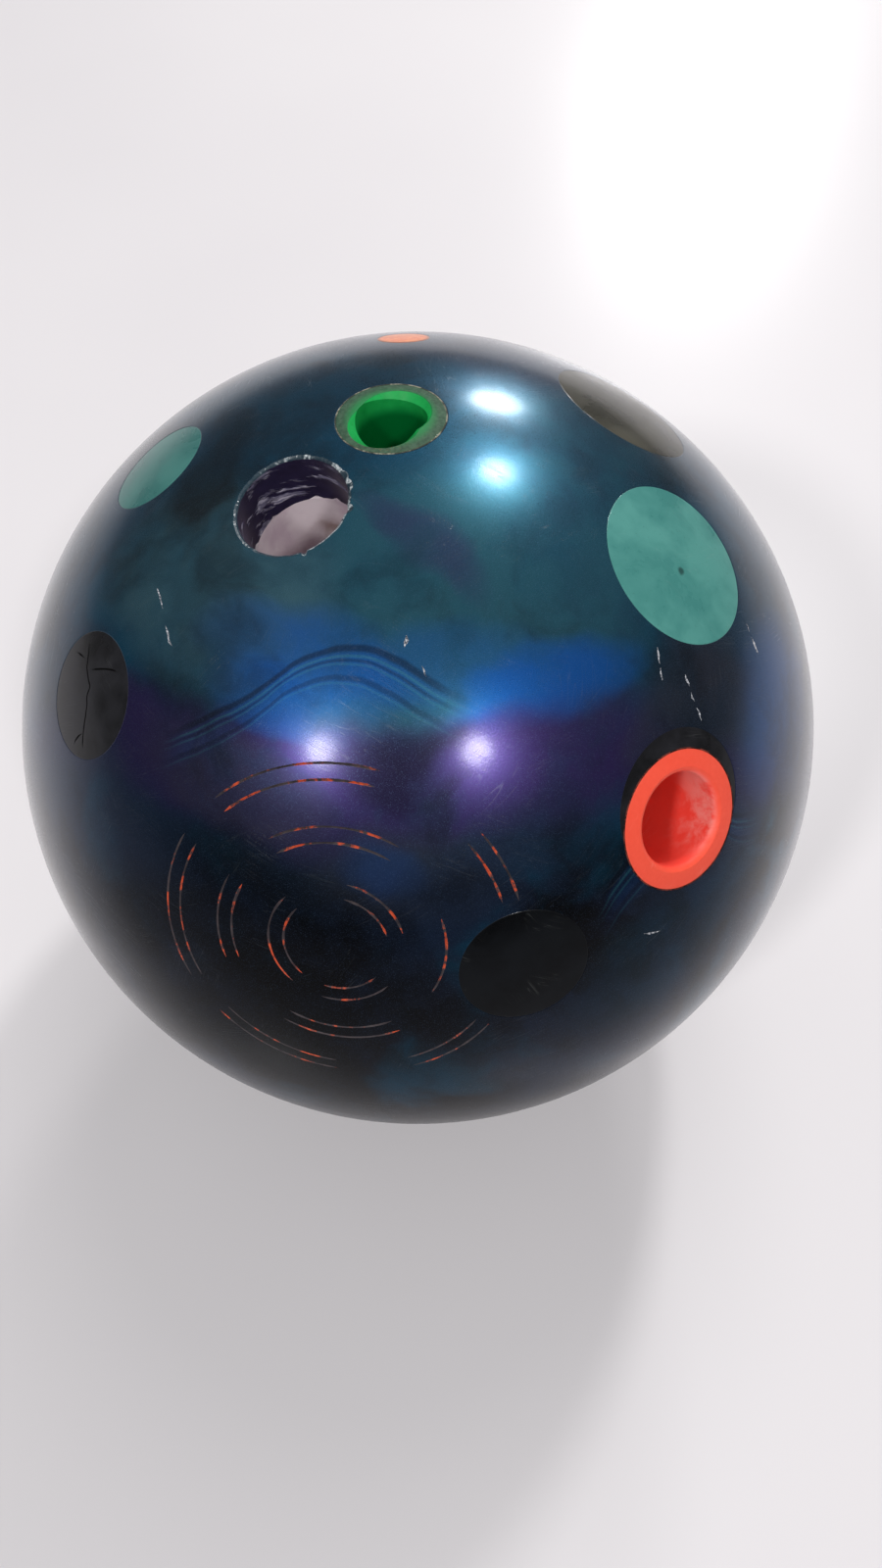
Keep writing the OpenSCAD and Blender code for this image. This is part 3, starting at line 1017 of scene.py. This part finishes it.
def resin(name, dark, light, spot=None):
    """A polished cast resin: faint clouds, flecks, the odd scratch and, if asked for, a dark spot."""
    mat = Finish(name)
    cloud = mat.noise(mat.warp(mat.place, 0.05, 10.0), 0.07, 4.0, 0.6)
    fleck = mat.step(mat.grain(1.7, 2.0), 0.66, 0.74)
    lines = mat.math("MAXIMUM", mat.scratches(5, 1.6), mat.scratches(6, 1.3))
    colour = mat.blend(cloud, 0.35, 0.65, dark, light)
    colour = mat.mix(mat.times(fleck, 0.25), colour, srgb(20, 26, 26))
    colour = mat.mix(mat.times(lines, 0.04), colour, srgb(200, 205, 200))
    if spot is not None:
        ragged = mat.warp(mat.place, 0.5, 1.2)
        away = mat.distance(ragged, to_mm(spot))
        colour = mat.mix(mat.step(away, 0.5, 1.3, 0.8, 0.0), colour, srgb(24, 52, 50))
    return mat.set(
        colour=colour,
        roughness=mat.step(cloud, 0.3, 0.7, 0.25, 0.37),
        coat=0.6,
        coat_roughness=mat.step(mat.grain(0.06, 3.0), 0.35, 0.7, 0.06, 0.16),
        normal=mat.bump(mat.minus(cloud, lines), 0.01, 0.4),
    )


def from_axis(mat, mount):
    """Distance from a bore's axis in mm."""
    middle, axis = bore_line(mount)
    away = mat.vector("SUBTRACT", mat.place, middle / MM)
    foot = mat.scaled(axis, mat.dot(away, axis))
    return mat.vector("LENGTH", mat.vector("SUBTRACT", away, foot))


def above_skin(mat):
    """Height above the ball's surface in mm: below 0 inside a hole."""
    return mat.minus(mat.vector("LENGTH", mat.place), to_mm(1))


def insert_rubber():
    """The finger insert: ground grey-green on top, bright green at the mouth and deep green inside,
    where painted shade darkens it.
    """
    mat = Finish("green_insert")
    away = from_axis(mat, "finger_insert_opening")
    out = above_skin(mat)
    ground = mat.step(out, -0.22, -0.04)
    grain = mat.grain(1.1, 5.0, 0.65)
    dull_tone = mat.blend(grain, 0.3, 0.7, srgb(40, 66, 50), srgb(66, 92, 72))
    bright = mat.mix(mat.grain(0.4, 3.0), srgb(16, 140, 64), srgb(36, 172, 86))
    dull_tone = mat.blend(away, 8.0, 11.0, srgb(34, 118, 66), dull_tone)
    # painted shade: the green darkens with depth down the bore, where less light falls
    deep = mat.step(out, -6.5, -2.6)
    inner = mat.mix(deep, srgb(0, 100, 44), bright)
    return mat.set(
        colour=mat.mix(ground, inner, dull_tone),
        roughness=mat.step(ground, 0, 1, 0.38, 0.62),
        coat=mat.step(ground, 0, 1, 0.35, 0.1),
        subsurface=0.05,
        normal=mat.bump(grain, 0.06, 0.5),
    )


def slug_urethane():
    """The thumb slug: orange-red and rubbed, with a pinkish band of painted highlight and wear on the
    right of its bore.
    """
    mat = Finish("red_slug")
    out = above_skin(mat)
    face = mat.step(out, -1.6, -0.1)
    grain = mat.grain(0.9, 4.0, 0.6)
    lip = mat.mix(grain, srgb(240, 78, 56), srgb(250, 92, 70))
    bore = mat.mix(grain, srgb(250, 72, 60), srgb(255, 84, 70))
    rub = mat.noise(mat.warp(mat.place, 0.1, 6.0), 0.12, 5.0, 0.65)
    east, _ = tangents(bore_line("thumb_bore")[1])
    # painted highlight and wear: a pinkish band down inside the bore, on its east side only
    sheen_and_wear_side = mat.step(mat.dot(mat.facing, east), -0.02, 0.08)
    sheen_and_wear_band = mat.times(mat.step(rub, 0.42, 0.6), mat.step(out, -16, -4, 0.0, 0.75))
    sheen_and_wear_band = mat.times(sheen_and_wear_band, sheen_and_wear_side)
    colour = mat.mix(face, mat.mix(sheen_and_wear_band, bore, srgb(250, 160, 150)), lip)
    lines = mat.scratches(7, 1.6)
    colour = mat.mix(mat.times(lines, 0.3), colour, srgb(255, 190, 170))
    return mat.set(
        colour=colour,
        roughness=mat.step(rub, 0.35, 0.65, 0.34, 0.5),
        coat=0.25,
        subsurface=0.06,
        normal=mat.bump(mat.minus(grain, lines), 0.03, 0.4),
    )


def old_glue(name, dark, pale):
    """A thin glue line, pale where it has chipped and dark where it holds dirt."""
    mat = Finish(name)
    broken = mat.step(mat.grain(0.45, 4.0, 0.65), 0.42, 0.62)
    pale = mat.mix(mat.grain(1.5, 3.0), dark, pale)
    return mat.set(
        colour=mat.mix(broken, dark, pale),
        roughness=0.7,
        normal=mat.bump(broken, 0.06, 0.6),
    )


# from the finger hole's middle, which is where its mount is, to the middle of the brown painted shade on
# its wall, mm
SHADE_DOWN = 7
SHADE_SIDE = np.array([5.0, 11.0, 0.0])


def core_filler():
    """The filler seen in the lower part of the open finger hole: mauve, with brown painted shade."""
    mat = Finish("core_filler")
    grain = mat.grain(1.3, 6.0, 0.7)
    cloud = mat.noise(mat.warp(mat.place, 0.1, 5.0), 0.11, 4.0)
    base = mat.blend(cloud, 0.35, 0.65, srgb(206, 186, 196), srgb(228, 214, 218))
    middle, axis = bore_line("finger_hole")
    brown_shade_at = middle / MM - SHADE_DOWN * axis + SHADE_SIDE
    ragged = mat.warp(mat.place, 0.2, 12.0, 4.0)
    away = mat.distance(ragged, brown_shade_at)
    # painted shade: a ragged brown patch, deeper down the hole
    brown_shade = mat.step(away, 1.0, 9.0, 0.75, 0.0)
    colour = mat.mix(brown_shade, base, srgb(122, 92, 70))
    colour = mat.mix(mat.step(grain, 0.55, 0.75, 0.0, 0.3), colour, srgb(236, 228, 228))
    return mat.set(colour=colour, roughness=0.75, normal=mat.bump(grain, 0.12, 0.6))


def block_resin():
    """The weight block: dull red filled resin. It can't be seen, so its colour is a guess."""
    mat = Finish("weight_block_resin")
    grain = mat.grain(0.8, 5.0, 0.65)
    colour = mat.mix(grain, srgb(120, 44, 40), srgb(168, 78, 66))
    return mat.set(colour=colour, roughness=0.6, normal=mat.bump(grain, 0.1, 0.5))


PIN_RIM = (5.3, 6.3)  # the pin darkens towards its edge between these distances from its axis, mm


def pin_resin():
    """The orange locator pin."""
    mat = Finish("pin_resin")
    pin = way_to("locator_pin")
    grain = mat.grain(0.9, 4.0, 0.6)
    colour = mat.blend(grain, 0.3, 0.7, srgb(216, 100, 34), srgb(234, 132, 62))
    away = mat.times(mat.math("ARCCOSINE", mat.dot(mat.facing, pin)), to_mm(1))
    rim = mat.step(away, *PIN_RIM, 0.0, 0.7)
    colour = mat.mix(rim, colour, srgb(96, 58, 36))
    return mat.set(colour=colour, roughness=0.3, coat=0.6, coat_roughness=0.1,
                   normal=mat.bump(grain, 0.01, 0.4))


# ---- the pieces

fine_cover({
    SKIN: cover_skin(),
    ENGRAVED: worn_paint(),
    SCUFF: scuffed_resin(),
    CHIP: chipped_edge(),
    WALL: resin("cover_wall", srgb(12, 18, 34), srgb(30, 40, 66)),
    BORE_WALL: bore_wall(),
})

TEAL_SPOT = direction(72.7, 55.7)    # the dark spot on the large teal plug
crack = crack_inside()
teal = resin("teal_plug_resin", srgb(60, 122, 116), srgb(78, 140, 132), TEAL_SPOT)
worn_teal = resin("worn_teal_plug_resin", srgb(48, 102, 98), srgb(64, 118, 112))
black = resin("black_plug_resin", srgb(16, 16, 18), srgb(34, 34, 38))
near_black = resin("dark_plug_resin", srgb(3, 4, 6), srgb(10, 13, 17))
olive = resin("olive_plug_resin", srgb(46, 45, 37), srgb(68, 66, 56))
for node, slot, mat, cuts in [
    ("teal_plug_large", "teal_resin", teal, []),
    ("teal_plug_small", "teal_resin", worn_teal, []),
    ("black_plug_cracked", "black_resin", black, cracks()),
    ("black_thumb_plug", "black_resin", black, []),
    ("black_plug_front", "dark_resin", near_black, []),
    ("olive_plug", "olive_resin", olive, []),
    ("locator_pin", "pin_orange", pin_resin(), []),
    ("finger_insert", "insert_rubber", insert_rubber(), []),
    ("thumb_slug", "slug_urethane", slug_urethane(), []),
]:
    # the thumb plug is a crescent with tips too thin for a softened rim
    fine_plug(node, {SKIN: mat, CRACK: crack, WALL: mat}, cuts, node != "black_thumb_plug")

clean_copy("outer_core", core_filler())
for node, mat in [
    ("weight_block", block_resin()),
    ("finger_insert_glue", old_glue("insert_glue", srgb(52, 54, 46), srgb(196, 190, 168))),
    ("thumb_slug_glue", old_glue("slug_glue", srgb(34, 16, 14), srgb(150, 70, 56))),
]:
    NODES[node].data.materials.clear()
    NODES[node].data.materials.append(mat)


# ---- floor, light and camera

FLOOR_HALF = 3.0      # half the floor's width, m
FLOOR_PAINTED_SHADE = (-200, 40)     # painted shade: the floor seen in the ball's polish goes from painted dark to bright between these places along y, mm
# how far the floor seen in the polish is mixed towards the painted dark colour
FLOOR_PAINTED_SHADE_SHARE = 0.74
# soft lamps: azimuth, elevation, distance m, width m, power W
LAMPS = [
    (-35.6, 45.4, 2.2, 0.26, 16),
    (23.7, 49.0, 2.2, 0.26, 16),
    (155.9, 47.4, 2.2, 0.24, 16),
    (166.5, 22.0, 2.4, 0.36, 13),
]
FILL = (168, 58, 2.2, 0.9, 9)   # a soft lamp that lights without being mirrored
ROOM_LOW = 0.08       # brightness of the room's light at the horizon
ROOM_HIGH = 0.42      # and overhead
ROOM_TOP = 0.95       # the height at which it is brightest
# the camera that took the photo, from the ball's outline in it
CAMERA_AT = (0.006015, -0.196648, 0.290490)
CAMERA_TILT = 31.71   # degrees up from looking straight down
CAMERA_LENS = 28.08
CAMERA_SENSOR = 36


def build_floor():
    """A plain pale floor under the ball."""
    square = [(-1, -1), (1, -1), (1, 1), (-1, 1)]
    corners = [(x * FLOOR_HALF, y * FLOOR_HALF, -BALL_R) for x, y in square]
    mesh = bpy.data.meshes.new("floor")
    mesh.from_pydata(corners, [], [(0, 1, 2, 3)])
    mat = Finish("floor_tile")
    shade = mat.grain(0.003, 3.0)
    pale = mat.mix(shade, srgb(210, 206, 208), srgb(222, 218, 219))
    # painted shade and painted reflection: for glossy rays only, the floor in front is painted darker,
    # standing in for whoever stands there and the shade they cast
    in_front = mat.step(mat.dot(mat.place, (0, 1, 0)), *FLOOR_PAINTED_SHADE, 1.0, 0.0)
    mirrored = mat.node("LightPath").outputs["Is Glossy Ray"]
    painted_floor_shade = mat.times(mat.times(in_front, mirrored), FLOOR_PAINTED_SHADE_SHARE)
    mesh.materials.append(mat.set(colour=mat.mix(painted_floor_shade, pale, srgb(60, 58, 62)), roughness=0.3))
    add_object("floor", mesh)


def build_lights():
    """The lamps, and a room that is brighter overhead than at the horizon."""
    for number, (azimuth, elevation, distance, width, power) in enumerate(LAMPS + [FILL]):
        lamp = bpy.data.lights.new(f"lamp_{number}", "AREA")
        lamp.shape = "DISK"
        lamp.size = width
        lamp.energy = power
        holder = add_object(lamp.name, lamp)
        holder.location = Vector(direction(azimuth, elevation)) * distance
        holder.rotation_euler = Vector(holder.location).to_track_quat("Z", "Y").to_euler()
        holder.visible_glossy = number < len(LAMPS)
    world = bpy.data.worlds.new("room")
    world.use_nodes = True
    tree = world.node_tree
    height = tree.nodes.new("ShaderNodeSeparateXYZ")
    tree.links.new(tree.nodes.new("ShaderNodeTexCoord").outputs["Generated"], height.inputs[0])
    glow = tree.nodes.new("ShaderNodeMapRange")
    glow.interpolation_type = "SMOOTHSTEP"
    for socket, number in zip(glow.inputs, (None, 0.0, ROOM_TOP, ROOM_LOW, ROOM_HIGH)):
        if number is not None:
            socket.default_value = number
    tree.links.new(height.outputs[2], glow.inputs[0])
    background = tree.nodes["Background"]
    background.inputs["Color"].default_value = (0.96, 0.97, 1.0, 1)
    tree.links.new(glow.outputs[0], background.inputs["Strength"])
    bpy.context.scene.world = world


def build_camera():
    """The camera at the photo's place."""
    camera = bpy.data.cameras.new("camera")
    camera.lens = CAMERA_LENS
    camera.sensor_width = CAMERA_SENSOR
    holder = add_object("camera", camera)
    holder.location = CAMERA_AT
    holder.rotation_euler = (math.radians(CAMERA_TILT), 0, 0)
    bpy.context.scene.camera = holder


build_floor()
build_lights()
build_camera()
bpy.context.scene.view_settings.view_transform = "Standard"

bpy.context.view_layer.update()
